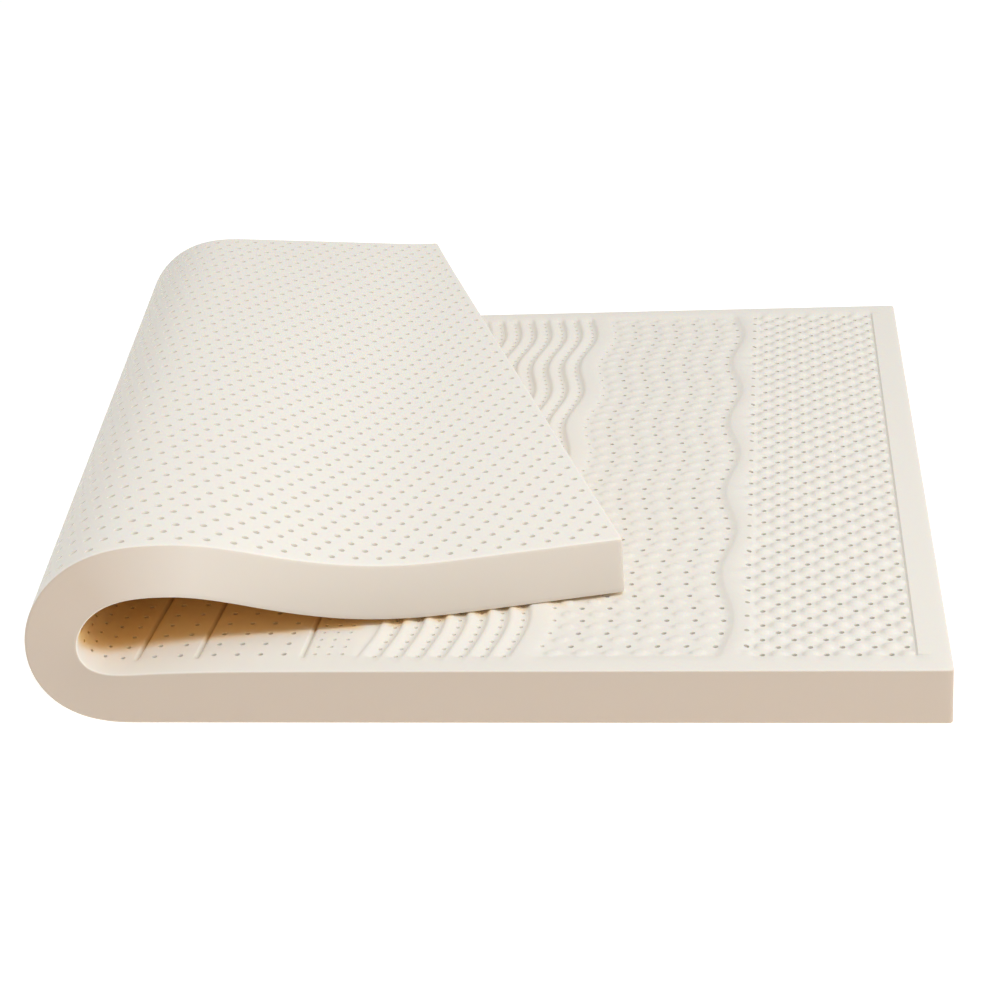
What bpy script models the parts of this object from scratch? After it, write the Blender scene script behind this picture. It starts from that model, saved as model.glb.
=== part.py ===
"""Folded latex mattress topper: one moulded foam slab, folded over once.

The slab is worked out flat, as it comes from its mould, and then folded. On the
flat slab, s runs along the length from the end that lies open on the floor, v
runs across the width from the near edge, and h is the height above the smooth
underside. The other face, the relief side, has a plain margin, wavy ridges that
run across the slab, and straight grooves in its middle. All lengths are metres.
"""

import math
from collections import namedtuple

import bmesh
import bpy
import numpy as np

# ---- Driving dimensions ----------------------------------------------------

LENGTH = 2.000
WIDTH = 1.500
THICKNESS = 0.075

MARGIN = 0.043          # plain border of the relief side, as thick as the slab
FIELD_DEPTH = 0.003     # the bumpy fields lie this far below the margin on average
RIDGE_DEPTH = 0.005     # from a ridge's crest down to the channel beside it
GROOVE_DEPTH = 0.005    # straight grooves of the middle zone
GROOVE_WIDTH = 0.012
WALL_RUN = 0.004        # the moulded steps slope over this run

WAVE_LENGTH = 0.300     # the ridges swing from side to side, five waves in the width
WAVE_REACH = 0.009
WAVE_START = 0.150      # v at which a ridge swings furthest towards its own end

WIDE_RIDGES = (0.272, 0.543)    # centre of each plain wide ridge, from its own end
WIDE_RIDGE_WIDTHS = (0.036, 0.028)
NARROW_RIDGES = 7
NARROW_PITCH = 0.028
NARROW_START = 0.557            # foot of the first narrow ridge, from its own end
GROOVES = (0.828, 0.969)        # straight grooves, from their own end
MIDDLE = 1.010                  # the moulded pattern is mirrored about this s

# How the slab lies, one row for each stretch of its length. The far edge turns over
# further along than the near one, because the top leaf lies askew on the floor leaf.
Stretch = namedtuple("Stretch", "name near_length near_turn far_length far_turn")
FOLD = (
    Stretch("floor leaf", 1.085, 0.0, 1.345, 0.0),
    Stretch("lower bend", 0.110, 103.0, 0.050, 82.0),
    Stretch("upper bend", 0.125, 75.0, 0.185, 106.0),
    Stretch("shoulder", 0.160, 22.4, 0.210, 0.0),
    Stretch("slope", 0.105, -6.0, 0.175, 0.0),
    Stretch("dip", 0.170, -14.4, 0.035, -8.0),
    Stretch("resting end", 0.245, 0.0, 0.000, 0.0),
)
SKEW = math.radians(8.4)        # half the angle between the two leaves, seen from above
EASE = 0.087                    # the turns run into each other over this length
SQUASH = 0.11                   # share of its thickness that the foam loses in the bend
SQUASH_LEAD = 0.050             # it is thinnest this far before the lower bend's end
SQUASH_REACH = 0.090

# ---- How finely the surfaces are divided ------------------------------------

WALK_STEPS = 500                # steps in which a line of the slab is folded
EASE_SAMPLES = 9
FIELD_ROWS = 28                 # rows across the relief field
UNDERSIDE_SKIP = 2              # the smooth underside has a row for each second one
BEND_SPAN = (1.050, 1.620)      # stretch of s that any part of the bend reaches
BEND_SPACING = 0.0135
LEAF_SPACING = 0.060

FOAM_COLOUR = (0.86, 0.80, 0.67, 1.0)
FOAM_ROUGHNESS = 0.85

Station = namedtuple("Station", "s depth swing")    # a line across the relief side


def narrow_ridge_stations():
    """Low, shoulder and crest lines of the narrow ridges beside the middle zone."""
    low, rise, crest = 0.005, 0.017, 0.026          # places within one pitch
    lines = []
    for ridge in range(NARROW_RIDGES):
        foot = NARROW_START + ridge * NARROW_PITCH
        lines.append(Station(foot + low, RIDGE_DEPTH, 1.0))
        lines.append(Station(foot + rise, 0.0, 1.0))
        lines.append(Station(foot + crest, 0.0, 1.0))
    return lines


def half_stations():
    """Lines across the relief side from one end of the slab to the last groove."""
    lines = [Station(0.0, 0.0, 0.0), Station(MARGIN, 0.0, 0.0)]
    lines.append(Station(MARGIN + WALL_RUN, FIELD_DEPTH, 0.0))
    for centre, width in zip(WIDE_RIDGES, WIDE_RIDGE_WIDTHS):
        half = width / 2
        lines.append(Station(centre - half, FIELD_DEPTH, 1.0))
        lines.append(Station(centre - half + 2 * WALL_RUN, 0.0, 1.0))
        lines.append(Station(centre + half - WALL_RUN, 0.0, 1.0))
        if centre < WIDE_RIDGES[-1]:
            lines.append(Station(centre + half, FIELD_DEPTH, 1.0))
    lines += narrow_ridge_stations()
    last_foot = NARROW_START + NARROW_RIDGES * NARROW_PITCH
    lines.append(Station(last_foot + 0.005, RIDGE_DEPTH, 1.0))
    lines.append(Station(last_foot + 0.012, 0.0, 0.6))
    for groove in GROOVES:
        lines.append(Station(groove - GROOVE_WIDTH / 2, 0.0, 0.0))
        lines.append(Station(groove, GROOVE_DEPTH, 0.0))
        lines.append(Station(groove + GROOVE_WIDTH / 2, 0.0, 0.0))
    return lines


def relief_stations():
    """Both halves of the moulded pattern, with lines added where the slab bends."""
    first = half_stations()
    second = [Station(2 * MIDDLE - line.s, line.depth, -line.swing) for line in reversed(first)]
    second = [line for line in second if line.s < LENGTH - 2 * WALL_RUN]
    lines = first + second + [Station(LENGTH, 0.0, 0.0)]
    filled = [lines[0]]
    for line in lines[1:]:
        before = filled[-1]
        bends = before.s < BEND_SPAN[1] and line.s > BEND_SPAN[0]
        spacing = BEND_SPACING if bends else LEAF_SPACING
        count = math.ceil((line.s - before.s) / spacing)
        for step in range(1, count):
            share = step / count
            mixed = [a + (b - a) * share for a, b in zip(before, line)]
            filled.append(Station(*mixed))
        filled.append(line)
    return filled


def field_rows():
    """Values of v: the two edges, the margin's walls and even rows between them."""
    inner = np.linspace(MARGIN + WALL_RUN, WIDTH - MARGIN - WALL_RUN, FIELD_ROWS + 1)
    return [0.0, MARGIN, *inner.tolist(), WIDTH - MARGIN, WIDTH]


def swing(v):
    """Sideways swing of the wavy ridges at v, between -1 and 1."""
    return -math.cos(2 * math.pi * (v - WAVE_START) / WAVE_LENGTH)


# ---- Folding ----------------------------------------------------------------


def mixed_rows(v):
    """Lengths and turns of the fold's stretches on the line at v."""
    share = v / WIDTH
    lengths = [row.near_length + (row.far_length - row.near_length) * share for row in FOLD]
    turns = [row.near_turn + (row.far_turn - row.near_turn) * share for row in FOLD]
    return lengths, turns


def heading(s, v):
    """Angle of the slab's length above the floor at s, in radians, eased at each turn."""
    lengths, turns = mixed_rows(v)
    places = np.concatenate([[0.0], np.cumsum(lengths)])
    angles = np.concatenate([[0.0], np.radians(np.cumsum(turns))])
    offsets = np.linspace(-EASE / 2, EASE / 2, EASE_SAMPLES)
    return np.mean([np.interp(s + offset, places, angles) for offset in offsets], axis=0)


def walk(v):
    """Fold the line at v: s, points of the underside, and normals towards the relief side."""
    s = np.linspace(0.0, LENGTH, WALK_STEPS + 1)
    step = LENGTH / WALK_STEPS
    angle = heading(s, v)
    middle = (angle[1:] + angle[:-1]) / 2
    stretch = 1 + np.diff(angle) / step * THICKNESS / 2     # the underside is the outer one
    onward = np.array([-math.cos(SKEW), -math.sin(SKEW), 0.0])
    across = np.array([-math.sin(SKEW), math.cos(SKEW), 0.0])
    up = np.array([0.0, 0.0, 1.0])
    run = (math.cos(SKEW) * stretch * np.cos(middle))[:, None] * onward
    rise = (math.cos(SKEW) * stretch * np.sin(middle))[:, None] * up
    moves = (run + rise + math.sin(SKEW) * across) * step
    points = np.array([0.0, v, 0.0]) + np.vstack([np.zeros(3), np.cumsum(moves, axis=0)])
    normals = np.cos(angle)[:, None] * up - np.sin(angle)[:, None] * onward
    return s, points, normals


def squash(s, v):
    """Share of the thickness that is left at s, where the bend presses the foam."""
    lengths, _ = mixed_rows(v)
    thinnest = lengths[0] + lengths[1] - SQUASH_LEAD
    return 1 - SQUASH * np.exp(-0.5 * ((s - thinnest) / SQUASH_REACH) ** 2)


def folded_line(v, s, h):
    """Places of the flat slab's points at v, with their own s and h, once it is folded."""
    along, points, normals = walk(v)
    s = np.asarray(s)
    lift = (np.asarray(h) * squash(s, v))[:, None]
    base = np.stack([np.interp(s, along, points[:, axis]) for axis in range(3)], axis=1)
    normal = np.stack([np.interp(s, along, normals[:, axis]) for axis in range(3)], axis=1)
    return base + normal * lift


# ---- Building the slab --------------------------------------------------------


def relief_line(v, lines):
    """Points of the relief side at v."""
    in_field = MARGIN < v < WIDTH - MARGIN
    s = [line.s + WAVE_REACH * swing(v) * line.swing for line in lines]
    h = [THICKNESS - (line.depth if in_field else 0.0) for line in lines]
    return folded_line(v, s, h)


def add_sheet(mesh, rows):
    """Triangles between rows of points, split along the lines in which the slab bends."""
    verts = [[mesh.verts.new(point) for point in row] for row in rows]
    for near, far in zip(verts, verts[1:]):
        for place in range(len(near) - 1):
            mesh.faces.new((near[place], near[place + 1], far[place + 1]))
            mesh.faces.new((near[place], far[place + 1], far[place]))
    return verts


def add_side(mesh, top, bottom):
    """Wall along one side, between two lines that have the same stations."""
    for place in range(len(top) - 1):
        mesh.faces.new((top[place], top[place + 1], bottom[place + 1], bottom[place]))


def add_end(mesh, top, bottom, kept):
    """Wall at one end. Each of its panels takes in the rows that the underside skips."""
    for panel in range(len(kept) - 1):
        first, last = kept[panel], kept[panel + 1]
        mesh.faces.new([*top[first:last + 1], bottom[panel + 1], bottom[panel]])


def build_slab(material):
    """The whole topper as one closed solid, its box centred over the origin."""
    lines = relief_stations()
    rows = field_rows()
    kept = [0, *range(3, len(rows) - 2, UNDERSIDE_SKIP), len(rows) - 1]
    flat_s = [line.s for line in lines]
    relief = [relief_line(v, lines) for v in rows]
    underside = [folded_line(rows[row], flat_s, np.zeros(len(lines))) for row in kept]

    every = np.vstack(relief + underside)
    low, high = every.min(axis=0), every.max(axis=0)
    origin = np.array([(low[0] + high[0]) / 2, (low[1] + high[1]) / 2, low[2]])

    mesh = bmesh.new()
    top = add_sheet(mesh, [row - origin for row in relief])
    bottom = add_sheet(mesh, [row - origin for row in underside])
    add_side(mesh, top[0], bottom[0])
    add_side(mesh, top[-1], bottom[-1])
    for end in (0, -1):
        add_end(mesh, [row[end] for row in top], [row[end] for row in bottom], kept)
    bmesh.ops.recalc_face_normals(mesh, faces=mesh.faces)

    data = bpy.data.meshes.new("topper_slab")
    mesh.to_mesh(data)
    mesh.free()
    data.materials.append(material)
    data.shade_smooth()
    data.set_sharp_from_angle(angle=math.radians(40))
    return bpy.data.objects.new("topper_slab", data)


def latex_foam():
    """Cream natural latex foam, matt and a little yellow."""
    material = bpy.data.materials.new("latex_foam")
    material.use_nodes = True
    shader = material.node_tree.nodes["Principled BSDF"]
    shader.inputs["Base Color"].default_value = FOAM_COLOUR
    shader.inputs["Roughness"].default_value = FOAM_ROUGHNESS
    shader.inputs["Metallic"].default_value = 0.0
    return material


def main():
    for old in list(bpy.data.objects):
        bpy.data.objects.remove(old, do_unlink=True)
    collection = bpy.data.collections.new("folded_mattress_topper")
    bpy.context.scene.collection.children.link(collection)
    collection.objects.link(build_slab(latex_foam()))


main()
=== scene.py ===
# %% [markdown]
# # A latex mattress topper, folded over once
# A topper like this is poured as liquid latex into a heated mould, so it comes out in
# one piece. One face is smooth apart from rows of pin holes. The other has a plain
# margin, fields of small bumps, wavy ribs and straight grooves. The slab is modelled
# flat, the way the mould makes it, and then folded by one function. That way each
# hole and rib bends with the foam instead of being placed on a curved surface by hand.

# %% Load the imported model
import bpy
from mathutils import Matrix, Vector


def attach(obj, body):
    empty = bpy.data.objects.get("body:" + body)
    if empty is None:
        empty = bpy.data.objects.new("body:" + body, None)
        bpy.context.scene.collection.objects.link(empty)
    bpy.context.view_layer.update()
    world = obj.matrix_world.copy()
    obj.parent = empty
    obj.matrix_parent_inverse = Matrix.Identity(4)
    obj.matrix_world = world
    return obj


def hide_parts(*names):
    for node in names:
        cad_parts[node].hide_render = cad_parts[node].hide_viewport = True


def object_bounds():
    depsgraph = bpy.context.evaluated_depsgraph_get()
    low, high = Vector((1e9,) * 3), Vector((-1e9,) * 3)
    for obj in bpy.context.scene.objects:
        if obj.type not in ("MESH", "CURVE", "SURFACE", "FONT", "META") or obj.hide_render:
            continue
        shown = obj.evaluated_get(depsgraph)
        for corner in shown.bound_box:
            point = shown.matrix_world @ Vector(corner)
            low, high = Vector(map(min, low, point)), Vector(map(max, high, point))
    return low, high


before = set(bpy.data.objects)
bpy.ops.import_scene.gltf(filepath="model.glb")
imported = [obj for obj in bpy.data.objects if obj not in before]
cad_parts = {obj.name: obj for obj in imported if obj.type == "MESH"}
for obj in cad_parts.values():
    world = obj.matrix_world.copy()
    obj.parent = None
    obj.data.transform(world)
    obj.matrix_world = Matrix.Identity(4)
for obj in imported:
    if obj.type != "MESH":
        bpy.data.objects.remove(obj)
cad_box = [list(corner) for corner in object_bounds()]
print("packed solid, lowest and highest corner:", cad_box)

# %% The modules that the lesson uses
import math
from collections import namedtuple

import bmesh
import bpy
import numpy as np
from mathutils import Matrix, Vector
from mathutils.bvhtree import BVHTree

MM = 0.001                  # every length below is in metres, or in mm times this
SAME = 0.01 * MM            # points nearer to each other than this are one point
TINY = 1e-6                 # room for rounding where two numbers are compared
print("Blender", bpy.app.version_string)

# %% [markdown]
# ## Camera
# The camera comes first, because everything else is judged through it. Its place and
# lens were worked out from the topper's straight edges: it looks down by 22 degrees,
# a little to the left, from about two and a half metres in front of the near edge.

# %% Place the camera
CAMERA_FROM_CORNER = (-0.2036, -2.4334, 1.3089)     # from the near right bottom corner
YAW, PITCH, ROLL = 8.092, 22.140, -3.773            # degrees
LENS_MM, SENSOR_MM = 78.17, 36.0

corner = (cad_box[1][0], cad_box[0][1], cad_box[0][2])
camera_data = bpy.data.cameras.new("camera")
camera_data.lens = LENS_MM
camera_data.sensor_width = SENSOR_MM
camera = bpy.data.objects.new("camera", camera_data)
turn = Matrix.Rotation(math.radians(YAW), 4, "Z")
turn = turn @ Matrix.Rotation(math.radians(90 - PITCH), 4, "X")
turn = turn @ Matrix.Rotation(math.radians(ROLL), 4, "Z")
place = [a + b for a, b in zip(corner, CAMERA_FROM_CORNER)]
camera.matrix_world = Matrix.Translation(place) @ turn
bpy.context.scene.collection.objects.link(camera)
bpy.context.scene.camera = camera
print("camera at", [round(value, 3) for value in place])

# %% [markdown]
# ## The slab and its fold
# Three coordinates describe a place in the flat slab: s along the length from the end
# that lies open on the floor, v across the width from the near edge, and h up from the
# smooth underside. A row of the fold table gives one stretch of the length and how far
# the slab turns in it, at the near edge and at the far edge. A table was chosen rather
# than a curve drawn by hand, because foam keeps its length when it is bent.

# %% Sizes of the slab and of its fold
LENGTH = 2.000
WIDTH = 1.500
THICKNESS = 0.075
MIDDLE = 1.010              # the mould's pattern is mirrored about this s

Stretch = namedtuple("Stretch", "name near_length near_turn far_length far_turn")
FOLD = (
    Stretch("floor leaf", 1.085, 0.0, 1.345, 0.0),
    Stretch("lower bend", 0.110, 103.0, 0.050, 82.0),
    Stretch("upper bend", 0.125, 75.0, 0.185, 106.0),
    Stretch("shoulder", 0.160, 22.4, 0.210, 0.0),
    Stretch("slope", 0.105, -6.0, 0.175, 0.0),
    Stretch("dip", 0.170, -14.4, 0.035, -8.0),
    Stretch("resting end", 0.245, 0.0, 0.000, 0.0),
)
SKEW = math.radians(8.4)    # half the angle between the two leaves, seen from above
print("length in the table:", round(sum(row.near_length for row in FOLD), 3))

# %% [markdown]
# The fold is worked out once on a net of places, by walking along the underside of each
# line of the slab in small steps. Any other place is found between the net's points.

# %% Walk along the folded slab
NET_S, NET_V = 500, 150     # steps of the net along and across the slab
EASE = 0.087                # the turns run into each other over this length
EASE_SAMPLES = 9


def mixed(near, far, v):
    """Value between the near edge's and the far edge's."""
    return near + (far - near) * v / WIDTH


def walk(v):
    """Points of the underside along the line at v, and normals towards the relief side."""
    places = np.cumsum([0.0] + [mixed(row.near_length, row.far_length, v) for row in FOLD])
    turns = np.cumsum([0.0] + [mixed(row.near_turn, row.far_turn, v) for row in FOLD])
    s = np.linspace(0.0, LENGTH, NET_S + 1)
    offsets = np.linspace(-EASE / 2, EASE / 2, EASE_SAMPLES)
    eased = [np.interp(s + offset, places, turns) for offset in offsets]
    angle = np.radians(np.mean(eased, axis=0))
    step = LENGTH / NET_S
    middle = (angle[1:] + angle[:-1]) / 2
    stretch = 1 + np.diff(angle) / step * THICKNESS / 2     # outside the bend it is longer
    onward = np.array([-math.cos(SKEW), -math.sin(SKEW), 0.0])
    across = np.array([-math.sin(SKEW), math.cos(SKEW), 0.0])
    up = np.array([0.0, 0.0, 1.0])
    run = (math.cos(SKEW) * stretch * np.cos(middle))[:, None] * onward
    rise = (math.cos(SKEW) * stretch * np.sin(middle))[:, None] * up
    moves = (run + rise + math.sin(SKEW) * across) * step
    points = np.array([0.0, v, 0.0]) + np.vstack([np.zeros(3), np.cumsum(moves, axis=0)])
    normals = np.cos(angle)[:, None] * up - np.sin(angle)[:, None] * onward
    return points, normals


net = [walk(v) for v in np.linspace(0.0, WIDTH, NET_V + 1)]
net_points = np.array([points for points, _ in net])
net_normals = np.array([normals for _, normals in net])
print("highest point of the fold:", round(net_points[..., 2].max() / MM), "mm")

# %% [markdown]
# Foam is soft, so its thickness is not the same everywhere: it is pressed together in
# the bend. In the photo the side face is also a little taller at the free end, which
# lies down on the ribs. The first share came out of the same fit as the camera. The
# second was given and is only drawn: the imported solid keeps its flat thickness.

# %% Fold any place of the slab
SQUASH = 0.11               # share of its thickness that the foam loses in the bend
SQUASH_LEAD = 0.050         # the squash is deepest this far before the lower bend's end
SQUASH_REACH = 0.090
SWELL = 0.050               # share by which the free end is thicker
SWELL_FROM, SWELL_FULL = 1.40, 1.62


def between(table, s, v):
    """Value of a net's table at s and v, mixed from the four nearest points."""
    last_row, last_column = table.shape[0] - 1, table.shape[1] - 1
    column = np.clip(s / LENGTH * last_column, 0, last_column - TINY)
    row = np.clip(v / WIDTH * last_row, 0, last_row - TINY)
    i, j = row.astype(int), column.astype(int)
    a, b = (row - i)[:, None], (column - j)[:, None]
    near = table[i, j] * (1 - b) + table[i, j + 1] * b
    far = table[i + 1, j] * (1 - b) + table[i + 1, j + 1] * b
    return near * (1 - a) + far * a


def fold(s, v, h):
    """Places in the shared frame of the flat slab's places s, v, h."""
    bend_start = mixed(FOLD[0].near_length, FOLD[0].far_length, v)
    bend_length = mixed(FOLD[1].near_length, FOLD[1].far_length, v)
    away = (s - bend_start - bend_length + SQUASH_LEAD) / SQUASH_REACH
    left = 1 - SQUASH * np.exp(-0.5 * away ** 2)
    left = left + SWELL * np.interp(s, (SWELL_FROM, SWELL_FULL), (0, 1))
    thick = between(net_normals, s, v) * (h * left)[:, None]
    return np.array(corner) + between(net_points, s, v) + thick


free_corner = fold(np.array([LENGTH]), np.zeros(1), np.zeros(1))[0]
print("the free near corner lies at", free_corner.round(3).tolist())

# %% [markdown]
# ## Small cells of the mould
# The mould's pins leave holes and its dimples leave bumps, about eight thousand in
# all. Cutting each one with a boolean would be slow and leave ragged faces, so each kind
# is one small cell of a few dozen faces. The cell starts as a square grid, and its inner
# rings of points are moved onto circles, which makes a round hole in a square grid.

# %% Rings of the holes and bumps
Ring = namedtuple("Ring", "radius height")


def pin_hole(rim, floor, depth):
    """Rings of a hole that a pin leaves, from the middle of its floor to its rim."""
    return Ring(0.0, -depth), Ring(floor, -depth), Ring(rim, 0.0)


def round_bump(height):
    """Rings of a low round bump, from its top outwards."""
    return Ring(0.0, height), Ring(5.0 * MM, 0.88 * height), Ring(8.6 * MM, 0.48 * height)


PIT_DEPTH = 8 * MM          # the pins reach deeper, but nothing below this can be seen
SHAPES = {
    "pin": pin_hole(3.8 * MM, 3.1 * MM, PIT_DEPTH),
    "wide pin": pin_hole(4.9 * MM, 3.7 * MM, 5 * MM),
    "fine pin": pin_hole(3.0 * MM, 2.2 * MM, 3.5 * MM),
    "bump": round_bump(4.0 * MM),
    "low bump": round_bump(2.0 * MM),
}
print("kinds of cell with a hole or a bump:", list(SHAPES))

# %% Make one cell
STEPS = 6                   # steps along a cell's side
RIB_LINES = (0.0, 5.0, 9.0, 11.8, 14.2, 16.2)      # mm, across a rib's back and steep side


def cell_lines(kind, width):
    """Where a cell's lines lie across the ribs."""
    if kind == "rib":
        return np.array(RIB_LINES) * MM
    return np.linspace(0.0, width, STEPS + 1)


def make_cell(kind, width, height):
    """One cell with its low corner at the origin, as an object for the lattice."""
    lines, rows = cell_lines(kind, width), np.linspace(0.0, height, STEPS + 1)
    last, half, row = len(lines) - 1, STEPS // 2, STEPS + 1
    shape = SHAPES.get(kind, ())
    points = [[x, y, 0.0] for x in lines for y in rows]
    for i in range(last + 1):
        for j in range(row):
            ring = max(abs(i - half), abs(j - half))
            if ring < len(shape):
                angle = math.atan2(j - half, i - half)
                x = width / 2 + shape[ring].radius * math.cos(angle)
                y = height / 2 + shape[ring].radius * math.sin(angle)
                points[i * row + j] = [x, y, shape[ring].height]
    start = [i * row + j for i in range(last) for j in range(STEPS)]
    faces = [(k, k + row, k + row + 1, k + 1) for k in start]
    if kind == "plain":
        # A flat cell needs no grid: a fan from its centre meets its neighbours' points.
        outline = [i * row for i in range(last)]
        outline += [last * row + j for j in range(STEPS)]
        outline += [i * row + STEPS for i in range(last, 0, -1)]
        outline += [j for j in range(STEPS, 0, -1)]
        centre = half * row + half
        faces = [(a, b, centre) for a, b in zip(outline, outline[1:] + outline[:1])]
    mesh = bpy.data.meshes.new("cell")
    mesh.from_pydata(points, [], faces)
    return bpy.data.objects.new("cell", mesh)


trial_cell = make_cell("pin", 0.02, 0.02)
print("faces in a pin hole's cell:", len(trial_cell.data.polygons))
bpy.data.objects.remove(trial_cell)

# %% [markdown]
# ## A lattice of cells
# In the mould the pins stand in rows and columns. Copying a cell over them is a task for
# Geometry Nodes: a line of points is laid out in rows, each point gets a copy of the
# first or the second cell, and the copies are made real and merged where they touch. In
# a checkerboard the two kinds take turns in both directions, and elsewhere from one row
# to the next only.

# %% One function for every node, and the tree's inputs


def add_node(tree, kind, settings=None, links=None):
    """Add a node, set its properties, and give its inputs values or other nodes' outputs."""
    new = tree.nodes.new(kind)
    for name, value in (settings or {}).items():
        setattr(new, name, value)
    for key, value in (links or {}).items():
        if isinstance(value, bpy.types.NodeSocket):
            tree.links.new(value, new.inputs[key])
        else:
            new.inputs[key].default_value = value
    return new


LATTICE_INPUTS = (
    ("First cell", "NodeSocketObject"), ("Second cell", "NodeSocketObject"),
    ("Columns", "NodeSocketInt"), ("Rows", "NodeSocketInt"),
    ("Column pitch", "NodeSocketFloat"), ("Row pitch", "NodeSocketFloat"),
    ("Turn by column", "NodeSocketInt"), ("Corner", "NodeSocketVector"),
    ("Material", "NodeSocketMaterial"),
)
print("inputs of the lattice tree:", [name for name, _ in LATTICE_INPUTS])

# %% Build the lattice tree


def lattice_tree():
    """Geometry Nodes tree that lays two kinds of cell out in rows and columns."""
    tree = bpy.data.node_groups.new("cell_lattice", "GeometryNodeTree")
    for name, kind in LATTICE_INPUTS:
        tree.interface.new_socket(name, in_out="INPUT", socket_type=kind)
    tree.interface.new_socket(
        "Geometry", in_out="OUTPUT", socket_type="NodeSocketGeometry")
    given = tree.nodes.new("NodeGroupInput").outputs
    math_node = "ShaderNodeMath"

    # One point for each cell, numbered from 0, and its column and row.
    total = add_node(tree, math_node, {"operation": "MULTIPLY"}, {
        0: given["Columns"], 1: given["Rows"]})
    line = add_node(tree, "GeometryNodeMeshLine", {}, {"Count": total.outputs[0]})
    index = add_node(tree, "GeometryNodeInputIndex").outputs[0]
    column = add_node(tree, math_node, {"operation": "MODULO"}, {
        0: index, 1: given["Columns"]}).outputs[0]
    ratio = add_node(tree, math_node, {"operation": "DIVIDE"}, {
        0: index, 1: given["Columns"]}).outputs[0]
    row = add_node(tree, math_node, {"operation": "FLOOR"}, {0: ratio}).outputs[0]

    # The point's place.
    x = add_node(tree, math_node, {"operation": "MULTIPLY"}, {
        0: column, 1: given["Column pitch"]})
    y = add_node(tree, math_node, {"operation": "MULTIPLY"}, {
        0: row, 1: given["Row pitch"]})
    spot = add_node(tree, "ShaderNodeCombineXYZ", {}, {
        "X": x.outputs[0], "Y": y.outputs[0]})
    moved = add_node(tree, "ShaderNodeVectorMath", {}, {
        0: spot.outputs[0], 1: given["Corner"]})
    points = add_node(tree, "GeometryNodeSetPosition", {}, {
        "Geometry": line.outputs[0], "Position": moved.outputs[0]})

    # Which of the two kinds it gets: odd counts take the second.
    turned = add_node(tree, math_node, {"operation": "MULTIPLY"}, {
        0: column, 1: given["Turn by column"]})
    count = add_node(tree, math_node, {}, {0: row, 1: turned.outputs[0]})
    odd = add_node(tree, math_node, {"operation": "MODULO"}, {
        0: count.outputs[0], 1: 2.0}).outputs[0]
    even = add_node(tree, math_node, {"operation": "SUBTRACT"}, {0: 1.0, 1: odd}).outputs[0]
    join = tree.nodes.new("GeometryNodeJoinGeometry")
    for cell, chosen in (("First cell", even), ("Second cell", odd)):
        shape = add_node(tree, "GeometryNodeObjectInfo", {}, {"Object": given[cell]})
        copies = add_node(tree, "GeometryNodeInstanceOnPoints", {}, {
            "Points": points.outputs[0], "Selection": chosen,
            "Instance": shape.outputs["Geometry"]})
        tree.links.new(copies.outputs[0], join.inputs[0])

    real = add_node(tree, "GeometryNodeRealizeInstances", {}, {"Geometry": join.outputs[0]})
    merged = add_node(tree, "GeometryNodeMergeByDistance", {}, {
        "Geometry": real.outputs[0], "Distance": SAME})
    finish = add_node(tree, "GeometryNodeSetMaterial", {}, {
        "Geometry": merged.outputs[0], "Material": given["Material"]})
    out = tree.nodes.new("NodeGroupOutput")
    tree.links.new(finish.outputs[0], out.inputs[0])
    return tree


LATTICE_TREE = lattice_tree()
print("lattice tree with", len(LATTICE_TREE.nodes), "nodes")

# %% Run the tree for one band of cells
Patch = namedtuple("Patch", "points faces")     # points are s, v and z below or above the face
Rows = namedtuple("Rows", "first pitch count")
Band = namedtuple("Band", "rows start width pitch columns first second turn")

latex = bpy.data.materials.new("natural_latex_foam")


def lattice_patch(band):
    """Flat patch of a band's cells, from a temporary object that carries the tree."""
    kinds = (band.first, band.second)
    cells = [make_cell(kind, band.width, band.rows.pitch) for kind in kinds]
    holder = bpy.data.objects.new("lattice", bpy.data.meshes.new("lattice"))
    bpy.context.scene.collection.objects.link(holder)
    modifier = holder.modifiers.new("lattice", "NODES")
    modifier.node_group = LATTICE_TREE
    values = {
        "First cell": cells[0], "Second cell": cells[1],
        "Columns": band.columns, "Rows": band.rows.count,
        "Column pitch": band.pitch, "Row pitch": band.rows.pitch,
        "Turn by column": band.turn, "Corner": (band.start, band.rows.first, 0.0),
        "Material": latex,
    }
    for item in LATTICE_TREE.interface.items_tree:
        if item.in_out == "INPUT":
            modifier[item.identifier] = values[item.name]
    holder.update_tag()
    evaluated = holder.evaluated_get(bpy.context.evaluated_depsgraph_get())
    mesh = bpy.data.meshes.new_from_object(evaluated)
    points = np.zeros(len(mesh.vertices) * 3)
    mesh.vertices.foreach_get("co", points)
    faces = [tuple(face.vertices) for face in mesh.polygons]
    for used in (holder, *cells):
        bpy.data.objects.remove(used, do_unlink=True)
    bpy.data.meshes.remove(mesh)
    return Patch(points.reshape(-1, 3), faces)


trial = lattice_patch(Band(Rows(0.0, 0.02, 2), 0.0, 0.02, 0.02, 3, "pin", "bump", 1))
print("six cells together have", len(trial.faces), "faces")

# %% [markdown]
# ## Rims and plain strips
# Between the lattices lie plain stretches: the margin, the rounded rim, the flanks of
# the wide ridges and the grooves. They are plain grids of points on chosen lines, which
# is the lightest mesh for them, and each line of points meets its neighbour's.

# %% Lines of a rim and rows of a lattice
RELIEF_EDGE, UNDER_EDGE = 2.0 * MM, 3.0 * MM       # radius of each face's rounded edge
WALL_REACH = 6 * MM         # how far down the side wall each face's own rim goes
RIM_ANGLES = (0, 30, 60, 90)                       # degrees round the edge
MARGIN_LINES = (10 * MM, 22 * MM)                  # extra lines on the plain margin
LINE_GAP = 3 * MM           # an extra line stays this far from the margin's end
Line = namedtuple("Line", "place depth")


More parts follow.
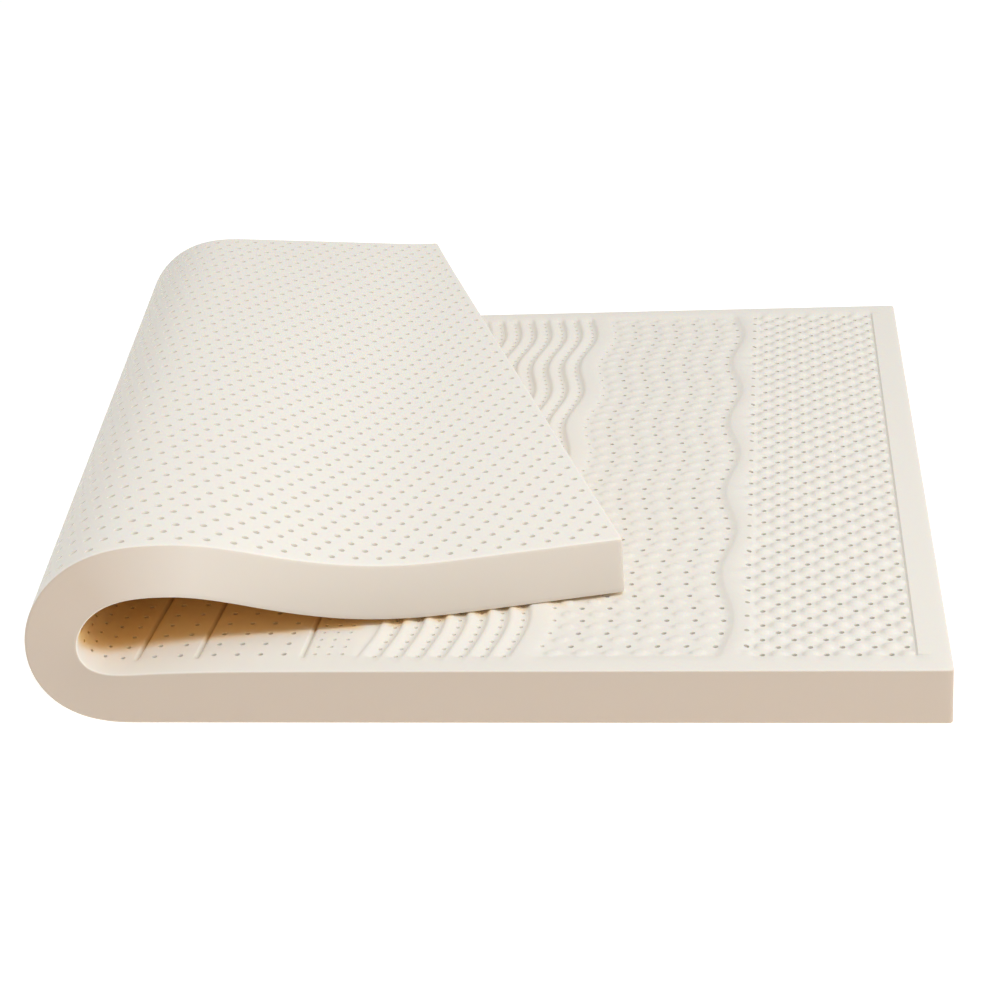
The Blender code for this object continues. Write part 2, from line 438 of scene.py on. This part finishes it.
def rim_lines(radius, plain):
    """Lines from the side wall, round the edge and over the plain margin, up to `plain`."""
    inset = [radius * (1 - math.cos(math.radians(angle))) for angle in RIM_ANGLES]
    inset += [place for place in MARGIN_LINES if radius < place < plain - LINE_GAP]
    return [Line(0.0, WALL_REACH)] + [Line(place, 0.0) for place in inset] + [Line(plain, 0.0)]


def row_lines(rows, rim):
    """All lines across the slab: the near rim, a lattice's lines and the far rim."""
    near = [line for line in rim if line.place < rows.first - TINY]
    far = [Line(WIDTH - line.place, line.depth) for line in reversed(near)]
    places = rows.first + rows.pitch / STEPS * np.arange(rows.count * STEPS + 1)
    return near + [Line(place, 0.0) for place in places] + far


def sheet(columns, rows):
    """Patch of four-sided faces between lines of s and lines of v."""
    s, v = np.meshgrid(
        [line.place for line in columns], [line.place for line in rows], indexing="ij")
    down = np.maximum.outer([line.depth for line in columns], [line.depth for line in rows])
    count = len(rows)
    start = [i * count + j for i in range(len(columns) - 1) for j in range(count - 1)]
    faces = [(k, k + count, k + count + 1, k + 1) for k in start]
    return Patch(np.stack([s, v, -down], axis=-1).reshape(-1, 3), faces)


def band_patches(band, rim):
    """A band's lattice, and plain sheets between it and the near and the far side wall."""
    rows = row_lines(band.rows, rim)
    edge = (len(rows) - band.rows.count * STEPS - 1) // 2
    patches = [lattice_patch(band)]
    for column in range(band.columns):
        places = band.start + column * band.pitch + cell_lines(band.first, band.width)
        columns = [Line(place, 0.0) for place in places]
        patches.append(sheet(columns, rows[:edge + 1]))
        patches.append(sheet(columns, rows[-edge - 1:]))
    return patches


print("lines from the wall to a margin of 41 mm:", len(rim_lines(RELIEF_EDGE, 41 * MM)))

# %% [markdown]
# ## Joining the patches
# Neighbours with the same rows share their points, which are merged. Where two have
# unlike numbers of rows, the seam runs on a flat crest, and the two lines of points are
# zipped together with triangles. The skin has no gap there, and no crease shows.

# %% Merge and zip


def merge_patches(patches):
    """One patch of all the patches, with the points that coincide merged."""
    mesh = bmesh.new()
    for patch in patches:
        verts = [mesh.verts.new(point) for point in patch.points]
        for face in patch.faces:
            mesh.faces.new([verts[number] for number in face])
    bmesh.ops.remove_doubles(mesh, verts=mesh.verts, dist=SAME)
    mesh.verts.index_update()
    points = np.array([tuple(vert.co) for vert in mesh.verts])
    faces = [tuple(vert.index for vert in face.verts) for face in mesh.faces]
    mesh.free()
    return Patch(points, faces)


def line_at(patch, s):
    """Point numbers on the line at s, from near to far, and their places along it."""
    found = np.nonzero(np.abs(patch.points[:, 0] - s) < 2 * SAME)[0]
    near = patch.points[found, 1] < WIDTH / 2
    along = patch.points[found, 1] + np.where(near, 1, -1) * patch.points[found, 2]
    order = np.argsort(along, kind="stable")
    return found[order].tolist(), along[order].tolist()


def zip_lines(first, second, first_at, second_at):
    """Triangles between two lines of point numbers, stepping along whichever is behind."""
    faces, i, j = [], 0, 0
    while i < len(first) - 1 or j < len(second) - 1:
        can_first = i < len(first) - 1
        behind = j == len(second) - 1 or (can_first and first_at[i + 1] <= second_at[j + 1])
        if can_first and behind:
            faces.append((first[i], second[j], first[i + 1]))
            i += 1
        else:
            faces.append((first[i], second[j], second[j + 1]))
            j += 1
    return faces


zipped = zip_lines([0, 1, 2], [3, 4, 5, 6, 7], [0, 2, 4], [0, 1, 2, 3, 4])
print("triangles between a line of 3 points and one of 5:", len(zipped))

# %% [markdown]
# ## Layout of the relief side
# Each half of the slab has the same bands, counted from its own end: small bumps and
# holes in a checkerboard, a wide wavy ridge, larger bumps, a second ridge, seven narrow
# ribs with a hole in each groove, and three straight bands of holes with grooves
# between them. The tables give each band's start and cell sizes in metres, as the photo
# shows them, because no one rule gives them all. The half under the top leaf is hidden
# in the photo, and is taken to be the mirror image of the open one.

# %% Tables of the bands
MARGIN, FIELD_START = 0.0410, 0.0434        # the plain margin's end, and the first field's start


def centred_rows(first, count):
    """Rows that fill the width between two borders of the same size."""
    return Rows(first, (WIDTH - 2 * first) / count, count)


SMALL_ROWS = centred_rows(MARGIN, 66)
BUMP_ROWS = centred_rows(0.0484, 73)
MIDDLE_ROWS = centred_rows(0.0347, 46)
RIB_PITCH = 0.0282
RIB_COUNT = 7
FIRST_FOOT = 0.552          # foot of the second wide ridge's steep side

BANDS = (
    Band(SMALL_ROWS, FIELD_START, 0.0202, 0.0202, 11, "bump", "pin", 1),
    Band(BUMP_ROWS, 0.2860, 0.0186, 0.0372, 6, "plain", "pin", 0),
    Band(BUMP_ROWS, 0.3046, 0.0186, 0.0372, 6, "low bump", "plain", 0),
    Band(BUMP_ROWS, 0.5092, 0.0186, 0.0372, 1, "plain", "fine pin", 0),
    Band(SMALL_ROWS, FIRST_FOOT + 0.003, 0.0120, RIB_PITCH, RIB_COUNT, "fine pin", "fine pin", 0),
    Band(SMALL_ROWS, FIRST_FOOT + 0.015, 0.0162, RIB_PITCH, RIB_COUNT, "rib", "rib", 0),
    Band(SMALL_ROWS, 0.7680, 0.0180, 0.0180, 3, "fine pin", "fine pin", 0),
    Band(MIDDLE_ROWS, 0.8380, 0.03125, 0.03125, 4, "pin", "pin", 0),
    Band(MIDDLE_ROWS, 0.9750, 0.0350, 0.0350, 1, "pin", "pin", 0),
)
print("bands on each half:", len(BANDS))

# %% Plain strips, seams and grooves between the bands
Strip = namedtuple("Strip", "rows places")
STRIPS = (
    Strip(BUMP_ROWS, (0.2790, 0.2830, 0.2860)),
    Strip(SMALL_ROWS, (0.5450, 0.5480, 0.5506, 0.5530, 0.5550)),
    Strip(SMALL_ROWS, (0.7524, 0.7570, 0.7620, 0.7680)),
    Strip(SMALL_ROWS, (0.8220, 0.8238, 0.8280, 0.8322, 0.8340)),
    Strip(MIDDLE_ROWS, (0.9630, 0.9648, 0.9690, 0.9732, 0.9750)),
)
SEAMS = ((0.2656, 0.2790), (0.5278, 0.5450), (0.8340, 0.8380))     # zipped from and to
GROOVES = (0.8280, 0.9690)  # middles of the straight grooves
print("strips and seams on each half:", len(STRIPS), len(SEAMS))

# %% [markdown]
# ## Heights of the relief
# The bands' cells only carry the holes and bumps. Ridges, ribs, grooves and the step
# at the margin come from one profile along s, which swings from side to side with v.
# One profile keeps the bands level with each other where they meet.

# %% Profile of the ridges and ribs
FIELD = 4.0                 # mm, the bumpy fields lie this far below the margin
PROFILE = [                 # pairs of s and depth, in mm
    (0.0, 0.0), (41.0, 0.0), (43.4, FIELD), (246.0, FIELD),
    (251.0, 3.2), (257.0, 1.2), (263.0, 0.0), (277.0, 0.0),
    (280.0, 0.4), (283.0, 1.5), (286.2, 3.2), (289.0, 4.4), (293.0, 4.8), (302.0, FIELD),
    (513.0, FIELD), (519.0, 2.9), (527.8, 0.3), (536.0, 0.0),
]
for rib in range(RIB_COUNT):
    foot = (FIRST_FOOT + rib * RIB_PITCH) / MM
    PROFILE += [(foot - 4.0, 0.0), (foot - 1.4, 0.8), (foot + 1.0, 3.4), (foot + 3.0, 4.8)]
    PROFILE += [(foot + 9.0, 5.0), (foot + 15.0, 3.4), (foot + 20.0, 0.9), (foot + 23.0, 0.1)]
foot = (FIRST_FOOT + RIB_COUNT * RIB_PITCH) / MM
PROFILE += [(foot - 4.0, 0.0), (foot - 1.4, 0.5), (foot + 1.0, 1.8), (foot + 3.0, 2.4)]
PROFILE += [(762.0, 1.2), (768.0, 1.0), (822.0, 1.0), (823.8, 1.2), (828.0, 5.0)]
PROFILE += [(832.2, 0.5), (834.0, 0.2), (838.0, 0.0)]
PROFILE += [(963.0, 0.0), (964.8, 0.3), (969.0, 4.6), (973.2, 0.3), (975.0, 0.0)]
profile_s, profile_depth = (np.array(values) * MM for values in zip(*PROFILE))
print("profile points:", len(PROFILE), "deepest", profile_depth.max() / MM, "mm")

# %% Swing of the ridges and height of the relief
WAVE_LENGTH = 0.300
WAVE_REACH = 9 * MM
CELLS_SWING = (0.2656, 0.2790, 0.7524, 0.7680)      # the cells start and stop to swing here
HEIGHTS_SWING = (0.060, 0.240, 0.7524, 0.7680)      # and the heights of the relief here
RIDGE_FOOT = 0.258          # bumps and holes die out here, at the first ridge's foot
FOOT_FADE = 8 * MM
LEAST_PIN = 0.4             # where less than this share of a hole is left, it is filled
SOFT_FROM, SOFT_OVER = 0.039, 0.009     # beside the long margins the relief begins softly


def swing(v):
    """How far the ridges stand away from their middle at v, away from their own end."""
    return WAVE_REACH * np.cos(2 * np.pi * v / WAVE_LENGTH)


def place_relief(points):
    """s, v and z of a half's points, still flat: the swing and the profile are added."""
    u, v, z = points.T
    follow = np.interp(u, CELLS_SWING, (0, 1, 1, 0))
    ridge = np.interp(u, HEIGHTS_SWING, (0, 1, 1, 0))
    at = u + swing(v) * (follow - ridge)

    # The first field keeps straight columns, and the swinging ridge covers its last ones.
    straight = u < SEAMS[0][0] + 0.1 * MM
    fade = np.where(straight, np.clip((RIDGE_FOOT - at) / FOOT_FADE, 0, 1), 1.0)
    is_pit = z < -WALL_REACH - MM       # deeper than the rim's own points on the side wall
    z = np.where(z > 0, z * fade, np.where(is_pit & (fade < LEAST_PIN), 0.0, z))

    edge = np.clip((np.minimum(v, WIDTH - v) - SOFT_FROM) / SOFT_OVER, 0, 1)
    soft = edge * edge * (3 - 2 * edge)
    depth = np.interp(at, profile_s, profile_depth) * soft
    return u + swing(v) * follow, v, z - depth


print("swing at the near edge:", round(float(swing(0.0)) / MM, 1), "mm")

# %% [markdown]
# ## Edges and corners
# Foam edges are never knife sharp. Each face's rim turns down into the side wall over a
# small radius, and the four corners are rounded in plan. The square grid is bent onto
# the round corner, so no faces have to be cut there.

# %% Round the edges and corners
CORNER_RADIUS = 6 * MM


def round_rim(s, v, radius):
    """Moved s and v, and how far the rounded edge drops below the face there."""
    a, b = np.minimum(s, LENGTH - s), np.minimum(v, WIDTH - v)
    x, y = np.clip(CORNER_RADIUS - a, 0, None), np.clip(CORNER_RADIUS - b, 0, None)
    move_x = x * (1 - np.sqrt(1 - y ** 2 / (2 * CORNER_RADIUS ** 2)))
    move_y = y * (1 - np.sqrt(1 - x ** 2 / (2 * CORNER_RADIUS ** 2)))
    rounded = CORNER_RADIUS - np.hypot(x - move_x, y - move_y)
    inset = np.clip(np.where((x > 0) & (y > 0), rounded, np.minimum(a, b)), 0, radius)
    drop = radius - np.sqrt(np.clip(radius ** 2 - (radius - inset) ** 2, 0, None))
    s = s + np.where(s < LENGTH / 2, move_x, -move_x)
    v = v + np.where(v < WIDTH / 2, move_y, -move_y)
    return s, v, drop


print("drop at a corner:", round(float(round_rim(0.0, 0.0, UNDER_EDGE)[2]) / MM, 1), "mm")

# %% [markdown]
# ## The relief side, still flat
# The whole surface is made as flat skins first, one for each face of each half. A skin
# knows for every point how deep it lies in a pin hole, where shade is painted darker.

# %% Flat skin of the relief side
GROOVE_SHADE = 0.45         # the straight grooves get this share of a hole's painted shade
GROOVE_DEPTH = 2 * MM       # and only where they are deeper than this
Skin = namedtuple("Skin", "flat faces relief pit")    # flat holds s, v and h of every point


def half_start(folded):
    """Where the half's own end lies when it is counted like the open half."""
    return 2 * MIDDLE - LENGTH if folded else 0.0


def pit_shade(z, drop):
    """How deep a point lies in a pin hole, from 0 to 1, and 0 on the rounded rim."""
    return np.clip(-z / PIT_DEPTH, 0, 1) * (drop == 0)


def relief_skin(folded):
    """Flat skin of the relief side of one half."""
    start = half_start(folded)
    rim = rim_lines(RELIEF_EDGE, MARGIN)
    ends = [Line(start + line.place, line.depth) for line in rim if start + line.place < MARGIN]
    ends += [Line(MARGIN, 0.0), Line(FIELD_START, 0.0)]
    patches = [sheet(ends, row_lines(SMALL_ROWS, rim))]
    for strip in STRIPS:
        columns = [Line(place, 0.0) for place in strip.places]
        patches.append(sheet(columns, row_lines(strip.rows, rim)))
    for band in BANDS:
        patches += band_patches(band, rim)

    patch = merge_patches(patches)
    faces = list(patch.faces)
    for before, after in SEAMS:
        first, first_at = line_at(patch, before)
        second, second_at = line_at(patch, after)
        faces += zip_lines(first, second, first_at, second_at)
    s, v, z = place_relief(patch.points)
    s, v, drop = round_rim(s - start, v, RELIEF_EDGE)
    s = LENGTH - s if folded else s
    flat = np.stack([s, v, THICKNESS + np.minimum(z, -drop)], axis=1)
    pit = pit_shade(patch.points[:, 2], drop)
    in_groove = np.isin(np.round(patch.points[:, 0], 5), GROOVES) & (z < -GROOVE_DEPTH)
    return Skin(flat, faces, True, np.maximum(pit, GROOVE_SHADE * in_groove))


relief_open = relief_skin(False)
relief_folded = relief_skin(True)
print("relief side of the open half:", len(relief_open.faces), "faces")

# %% [markdown]
# ## The underside and the side walls, still flat
# The smooth face rests on the mould's flat lid, so it has no relief. It is one
# checkerboard of pin holes and plain cells with a narrow plain border. Its skin also
# carries the side walls, up to the relief side's rim.

# %% Flat skin of the underside
UNDER_ROWS = centred_rows(0.0123, 65)
UNDER_COLUMNS = 59
UNDER_BORDER = 0.0065       # from the half's own end to its first cell
CORNER_CUT = 0.3 * CORNER_RADIUS        # a round corner moves its points in by less


def edge_line(flat, at, along, level):
    """Point numbers of one edge at a level of the side wall, in order along the edge."""
    axis, value = at
    low = np.abs(flat[:, 2] - level) < 5 * SAME
    found = np.nonzero(low & (np.abs(flat[:, axis] - value) < CORNER_CUT))[0]
    return found[np.argsort(flat[found, along], kind="stable")].tolist()


def drop_unused(flat, faces, pit):
    """The points that the faces use, the faces with new numbers, and the points' shade."""
    used = np.unique(np.concatenate([np.array(face) for face in faces]))
    number = np.full(len(flat), -1)
    number[used] = np.arange(len(used))
    return flat[used], [tuple(number[list(face)].tolist()) for face in faces], pit[used]


def under_skin(folded, relief):
    """Flat skin of one half's underside and of its side walls."""
    start = half_start(folded)
    first = start + UNDER_BORDER
    pitch = (MIDDLE - first) / UNDER_COLUMNS
    kinds = ("plain", "wide pin") if folded else ("wide pin", "plain")
    rim = rim_lines(UNDER_EDGE, UNDER_ROWS.first)
    ends = [Line(start + line.place, line.depth) for line in rim
            if line.place < UNDER_BORDER - 0.5 * MM]
    ends += [Line(first, 0.0)]
    patches = band_patches(Band(UNDER_ROWS, first, pitch, pitch, UNDER_COLUMNS, *kinds, 1), rim)
    patch = merge_patches(patches + [sheet(ends, row_lines(UNDER_ROWS, rim))])

    u, v, z = patch.points.T
    s, v, drop = round_rim(u - start, v, UNDER_EDGE)
    s = LENGTH - s if folded else s
    flat = np.stack([s, v, -np.minimum(z, -drop)], axis=1)
    count = len(flat)
    flat = np.vstack([flat, relief.flat])
    faces = list(patch.faces)
    own_end = (0, LENGTH if folded else 0.0)
    for at, along in (((1, 0.0), 0), ((1, WIDTH), 0), (own_end, 1)):
        low = edge_line(flat[:count], at, along, WALL_REACH)
        high = edge_line(relief.flat, at, along, THICKNESS - WALL_REACH)
        high = [number + count for number in high]
        faces += zip_lines(low, high, flat[low, along], flat[high, along])
    pit = np.append(pit_shade(z, drop), np.zeros(len(relief.flat)))
    flat, faces, pit = drop_unused(flat, faces, pit)
    return Skin(flat, faces, False, pit)


under_open = under_skin(False, relief_open)
under_folded = under_skin(True, relief_folded)
print("underside of the open half:", len(under_open.faces), "faces")

# %% [markdown]
# ## Where the fold keeps the light off
# In the photo the deep fold is golden brown, perhaps because the light there has passed
# through the foam many times. The render alone stayed a plain grey there. So the share
# of the key light that the topper itself keeps off is worked out here once, with rays
# from the relief side to the lamp, and the material turns it into a warm tint that was
# matched to the photo. It belongs to the mesh, so it would not move with another light.

# %% Cast rays towards the key light
KEY_AZIMUTH, KEY_ELEVATION = 38, 58         # degrees from straight in front, and above the floor
KEY_AIM, KEY_DISTANCE, KEY_SIZE = (0, 0, 0.1), 8.0, 2.0
KEY_SHARES = (-0.4, -0.2, 0.0, 0.2, 0.4)    # places on the lamp, in shares of its size
COVER_S, COVER_V = 300, 100                 # steps of the table along and across the slab
COVER_FROM = 0.30                           # nothing hangs over the slab before this s
RAY_LIFT = 0.6 * MM                         # rays start this far above the foam


def key_light_places():
    """Places spread evenly over the key light, a square lamp that faces the topper."""
    turn = Matrix.Rotation(math.radians(KEY_AZIMUTH), 4, "Z")
    turn = turn @ Matrix.Rotation(math.radians(90 - KEY_ELEVATION), 4, "X")
    spread = [KEY_SIZE * share for share in KEY_SHARES]
    return [Vector(KEY_AIM) + turn @ Vector((x, y, KEY_DISTANCE)) for x in spread for y in spread]


def cover_table(lamps):
    """How much of the key light the topper itself keeps off, over a net on its relief side."""
    s, v = np.meshgrid(
        np.linspace(0.0, LENGTH, COVER_S + 1), np.linspace(0.0, WIDTH, COVER_V + 1))
    s, v = s.ravel(), v.ravel()
    face = fold(s, v, np.full(len(s), THICKNESS))
    row = COVER_S + 1
    corners = [i * row + j for i in range(COVER_V) for j in range(COVER_S)]
    tree = BVHTree.FromPolygons(
        face.tolist(), [(k, k + 1, k + row + 1, k + row) for k in corners])
    above = fold(s, v, np.full(len(s), THICKNESS + RAY_LIFT))
    hidden = np.zeros(len(s))
    for number in np.nonzero(s > COVER_FROM)[0]:
        start = Vector(above[number])
        hits = [tree.ray_cast(start, lamp - start)[0] is not None for lamp in lamps]
        hidden[number] = sum(hits) / len(lamps)
    return hidden.reshape(COVER_V + 1, row, 1)


COVER = cover_table(key_light_places())
print("share of the table in full shade:", round(float((COVER == 1).mean()), 2))

# %% Fade the cover towards the mouths of the fold
NEAR_BARE, NEAR_FADE = 3 * MM, 10 * MM      # light from the side reaches in at the near rim
FAR_FADE = 0.15
THIN_GAP, THIN_COVER = (0.45, 0.80), (0.3, 1.0)     # less painted shade in the thin gap on the ribs


def covered_by_fold(s, v):
    """Cover at s and v, fading out at the rims and under the free end."""
    near = np.clip((v - NEAR_BARE) / NEAR_FADE, 0, 1)
    far = np.clip((WIDTH - v) / FAR_FADE, 0, 1)
    return between(COVER, s, v)[:, 0] * near * far * np.interp(s, THIN_GAP, THIN_COVER)


deep_in_fold = covered_by_fold(np.array([1.0]), np.array([0.5]))[0]
print("cover in the middle of the fold:", round(float(deep_in_fold), 2))

# %% [markdown]
# ## Turning a skin into a piece
# The flat skin is folded, its corner points are merged and its faces are turned
# outwards. Four attributes go with it, which the foam's material reads: how deep a point
# lies in a pin hole, whether it is on the side wall, how much the fold covers it, and
# whether it is on the relief side. The first three carry painted shade. Each relief
# half is cut in two on a flat place, so that no piece is too heavy.

# %% Make the piece
WALL_FROM, WALL_FULL = 0.2 * MM, 1.5 * MM   # the wall's painted shade sets in over the rounded edge
LIT_WALL_STRETCH = (1.28, 1.42)   # the wall's painted shade lightens over this stretch, up to the top leaf, as painted light
LIT_WALL_SHARE = 0.55
SHARP_ANGLE = math.radians(48)              # only steeper edges, such as a hole's rim, show


def outward_mesh(mesh, relief):
    """Merge the mesh's doubled points, drop its slivers and turn its faces out of the foam."""
    built = bmesh.new()
    built.from_mesh(mesh)
    bmesh.ops.remove_doubles(built, verts=built.verts, dist=SAME)
    bmesh.ops.dissolve_degenerate(built, edges=built.edges, dist=SAME / 2)
    bmesh.ops.recalc_face_normals(built, faces=built.faces)
    lowest = min(built.faces, key=lambda face: face.calc_center_median().z)
    facing_up = lowest.normal.z > 0
    if facing_up != relief:
        bmesh.ops.reverse_faces(built, faces=built.faces)
    built.to_mesh(mesh)
    built.free()


def make_piece(name, skin):
    """Folded mesh object of a skin, with its attributes and its material."""
    s, v, h = skin.flat.T
    mesh = bpy.data.meshes.new(name)
    mesh.from_pydata(fold(s, v, h).tolist(), [], skin.faces)
    depth = THICKNESS - h if skin.relief else h
    from_end, from_side = np.minimum(s, LENGTH - s), np.minimum(v, WIDTH - v)
    inside = (from_end > CORNER_RADIUS) & (from_side > CORNER_RADIUS)
    wall = np.where(inside, 0.0, np.interp(depth, (WALL_FROM, WALL_FULL), (0, 1)))
    values = {
        "pit": skin.pit,
        # Painted light: the wall's painted shade is weaker on the top leaf, whose side faces the
        # lamps more.
        "wall": wall * np.interp(s, LIT_WALL_STRETCH, (1.0, LIT_WALL_SHARE)),
        "covered": covered_by_fold(s, v) * float(skin.relief),
        "relief": np.full(len(s), float(skin.relief)),
    }
    for label, value in values.items():
        attribute = mesh.attributes.new(label, "FLOAT", "POINT")
        attribute.data.foreach_set("value", value.astype(np.float32))

    outward_mesh(mesh, skin.relief)
    mesh.shade_smooth()
    mesh.set_sharp_from_angle(angle=SHARP_ANGLE)
    mesh.materials.append(latex)
    piece = bpy.data.objects.new(name, mesh)
    bpy.context.scene.collection.objects.link(piece)
    triangles = sum(len(face.vertices) - 2 for face in mesh.polygons)
    print(name, "has", triangles, "triangles")
    return piece


# %% Make all six pieces
RELIEF_CUT = 0.786          # each half's relief side is two pieces, cut where it is flat
PAST_END = 3.0              # any place beyond the slab


def part_of(skin, first, last):
    """The part of a skin between two places along the slab."""
    middles = [skin.flat[list(face), 0].mean() for face in skin.faces]
    faces = [face for face, middle in zip(skin.faces, middles) if first < middle < last]
    flat, faces, pit = drop_unused(skin.flat, faces, skin.pit)
    return Skin(flat, faces, skin.relief, pit)


mirrored_cut = 2 * MIDDLE - RELIEF_CUT
pieces = [
    make_piece("relief_open_end", part_of(relief_open, -PAST_END, RELIEF_CUT)),
    make_piece("relief_open_middle", part_of(relief_open, RELIEF_CUT, MIDDLE)),
    make_piece("relief_folded_middle", part_of(relief_folded, MIDDLE, mirrored_cut)),
    make_piece("relief_folded_end", part_of(relief_folded, mirrored_cut, PAST_END)),
    make_piece("underside_open_half", under_open),
    make_piece("underside_folded_half", under_folded),
]

# %% [markdown]
# ## Natural latex foam
# Foamed natural latex is cream to pale yellow, matt, and full of tiny open cells under
# a thin moulded skin. Light soaks in a few millimetres, so its edges look soft. The side
# walls are coloured a shade darker than the faces, as painted shade, and lighter on the
# top leaf, as painted light. The smooth face is a little paler than the relief side; the
# cause is not known, so those two colours are simply matched. Pin holes and grooves get
# painted shade, and the fold's cover is painted as a golden-brown shade.

# %% Colours of the foam
SMOOTH_FACE, RELIEF_FACE = "#F6F2EA", "#F0ECE4"
WALL_SHADE, SHADED_HOLE = "#C9BAAB", "#BFB8A8"
FOLD_SHADE, HOLE_IN_FOLD_SHADE = "#FBD495", "#8A6A3C"


def srgb(hex_colour):
    """Linear colour of an sRGB hex value."""
    parts = [int(hex_colour[i:i + 2], 16) / 255 for i in (1, 3, 5)]
    linear = [c / 12.92 if c <= 0.04045 else ((c + 0.055) / 1.055) ** 2.4 for c in parts]
    return (*linear, 1.0)


print("relief side, linear:", [round(value, 3) for value in srgb(RELIEF_FACE)])

# %% Foam material
CELL_SIZE = 1.6 * MM        # real cells are under half a millimetre: drawn coarser, to show
GRAIN_SIZE = 6 * MM         # slow unevenness of the moulded skin


def foam_material(material):
    """Cream latex skin with fine cells, and painted shade on side walls, pin holes and fold."""
    material.use_nodes = True
    tree = material.node_tree
    shader = tree.nodes["Principled BSDF"]
    shader.inputs["Roughness"].default_value = 0.72
    shader.inputs["IOR"].default_value = 1.45
    shader.inputs["Specular IOR Level"].default_value = 0.25
    shader.inputs["Subsurface Weight"].default_value = 0.25
    shader.inputs["Subsurface Radius"].default_value = (1.0, 0.6, 0.3)
    shader.inputs["Subsurface Scale"].default_value = 3 * MM
    relief, wall, pit, covered = (
        add_node(tree, "ShaderNodeAttribute", {"attribute_name": name}).outputs["Fac"]
        for name in ("relief", "wall", "pit", "covered"))

    # Sockets 0, 6 and 7 of a colour Mix are the factor and the two colours.
    mix, in_colour = "ShaderNodeMix", {"data_type": "RGBA"}
    faces = add_node(tree, mix, in_colour, {
        0: relief, 6: srgb(SMOOTH_FACE), 7: srgb(RELIEF_FACE)}).outputs[2]
    # Painted shade: the side wall is coloured darker, for the shade that falls on it.
    wall_shaded = add_node(tree, mix, in_colour, {
        0: wall, 6: faces, 7: srgb(WALL_SHADE)}).outputs[2]
    # Painted shade: pin holes and deep grooves are coloured darker, for the shade inside them.
    hole_shaded = add_node(tree, mix, in_colour, {
        0: pit, 6: wall_shaded, 7: srgb(SHADED_HOLE)}).outputs[2]
    # Painted shade: where the fold keeps the key light off, the cream and the holes turn golden
    # brown.
    deep = add_node(tree, mix, in_colour, {
        0: pit, 6: srgb(FOLD_SHADE), 7: srgb(HOLE_IN_FOLD_SHADE)}).outputs[2]
    fold_shaded = add_node(tree, mix, in_colour, {0: covered, 6: hole_shaded, 7: deep}).outputs[2]
    tree.links.new(fold_shaded, shader.inputs["Base Color"])

    place = add_node(tree, "ShaderNodeTexCoord").outputs["Object"]
    cells = add_node(tree, "ShaderNodeTexVoronoi", {}, {
        "Vector": place, "Scale": 1 / CELL_SIZE})
    grain = add_node(tree, "ShaderNodeTexNoise", {}, {
        "Vector": place, "Scale": 1 / GRAIN_SIZE, "Detail": 4.0})
    height = add_node(tree, "ShaderNodeMath", {"operation": "MULTIPLY_ADD"}, {
        0: cells.outputs["Distance"], 1: 0.35, 2: grain.outputs[0]})
    bump = add_node(tree, "ShaderNodeBump", {}, {
        "Strength": 0.18, "Distance": 0.6 * MM, "Height": height.outputs[0]})
    tree.links.new(bump.outputs[0], shader.inputs["Normal"])


foam_material(latex)
print("foam material with", len(latex.node_tree.nodes), "nodes")

# %% [markdown]
# ## Lights and sky
# Product photographers light cream foam with large soft lamps, so that nothing burns
# out. The key light stands high in front on the right, and is the one that the fold's
# cover was worked out for. A lower, weaker lamp far round on the right rakes over the
# ribs and models them. A pale sky fills the rest.

# %% Soft lights and sky


def area_light(name, distance, azimuth, elevation, size, power):
    """Square soft white light, aimed at the topper from a direction given in degrees."""
    data = bpy.data.lights.new(name, "AREA")
    data.size, data.energy, data.color = size, power, srgb("#FFFFFF")[:3]
    lamp = bpy.data.objects.new(name, data)
    lamp.matrix_world = (
        Matrix.Translation(KEY_AIM)
        @ Matrix.Rotation(math.radians(azimuth), 4, "Z")
        @ Matrix.Rotation(math.radians(90 - elevation), 4, "X")
        @ Matrix.Translation((0.0, 0.0, distance))
    )
    bpy.context.scene.collection.objects.link(lamp)


area_light("key_softbox", KEY_DISTANCE, KEY_AZIMUTH, KEY_ELEVATION, KEY_SIZE, power=205)
area_light("raking_softbox", distance=6.0, azimuth=76, elevation=26, size=1.4, power=70)

world = bpy.data.worlds.new("studio")
bpy.context.scene.world = world
world.use_nodes = True
sky = world.node_tree.nodes["Background"]
sky.inputs["Color"].default_value = srgb("#FFFDFA")
sky.inputs["Strength"].default_value = 0.55
print("lights:", [item.name for item in bpy.data.lights])

# %% [markdown]
# ## Floor
# The photo's ground is pure white, as in a cut-out. A white paper floor that also glows
# a little gives that, and still bounces light onto the side walls. It is far larger than
# the view, so that low views see next to no edge of it, only a soft fall in tone.

# %% Paper floor
FLOOR_HALF = 80.0
FLOOR_GAP = 0.3 * MM        # just below the topper, so that the two faces don't fight

paper = bpy.data.materials.new("studio_paper")
paper.use_nodes = True
paper_shader = paper.node_tree.nodes["Principled BSDF"]
paper_shader.inputs["Base Color"].default_value = srgb("#F6F6F4")
paper_shader.inputs["Roughness"].default_value = 0.9
paper_shader.inputs["Emission Color"].default_value = srgb("#FFFFFF")
paper_shader.inputs["Emission Strength"].default_value = 0.45

floor_mesh = bpy.data.meshes.new("floor")
floor_shape = bmesh.new()
bmesh.ops.create_grid(floor_shape, x_segments=2, y_segments=2, size=FLOOR_HALF)
floor_shape.to_mesh(floor_mesh)
floor_shape.free()
floor_mesh.materials.append(paper)
floor = bpy.data.objects.new("floor", floor_mesh)
floor.location.z = -FLOOR_GAP
bpy.context.scene.collection.objects.link(floor)
bpy.context.scene.view_settings.view_transform = "Standard"
print("floor:", 2 * FLOOR_HALF, "m wide")

# %% [markdown]
# ## Hand the pieces to the frame
# The six skins together stand for the one imported solid. Each is foam, and rides on
# the only body there is.

for piece in pieces:
    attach(piece, "root")
    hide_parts("topper_slab")
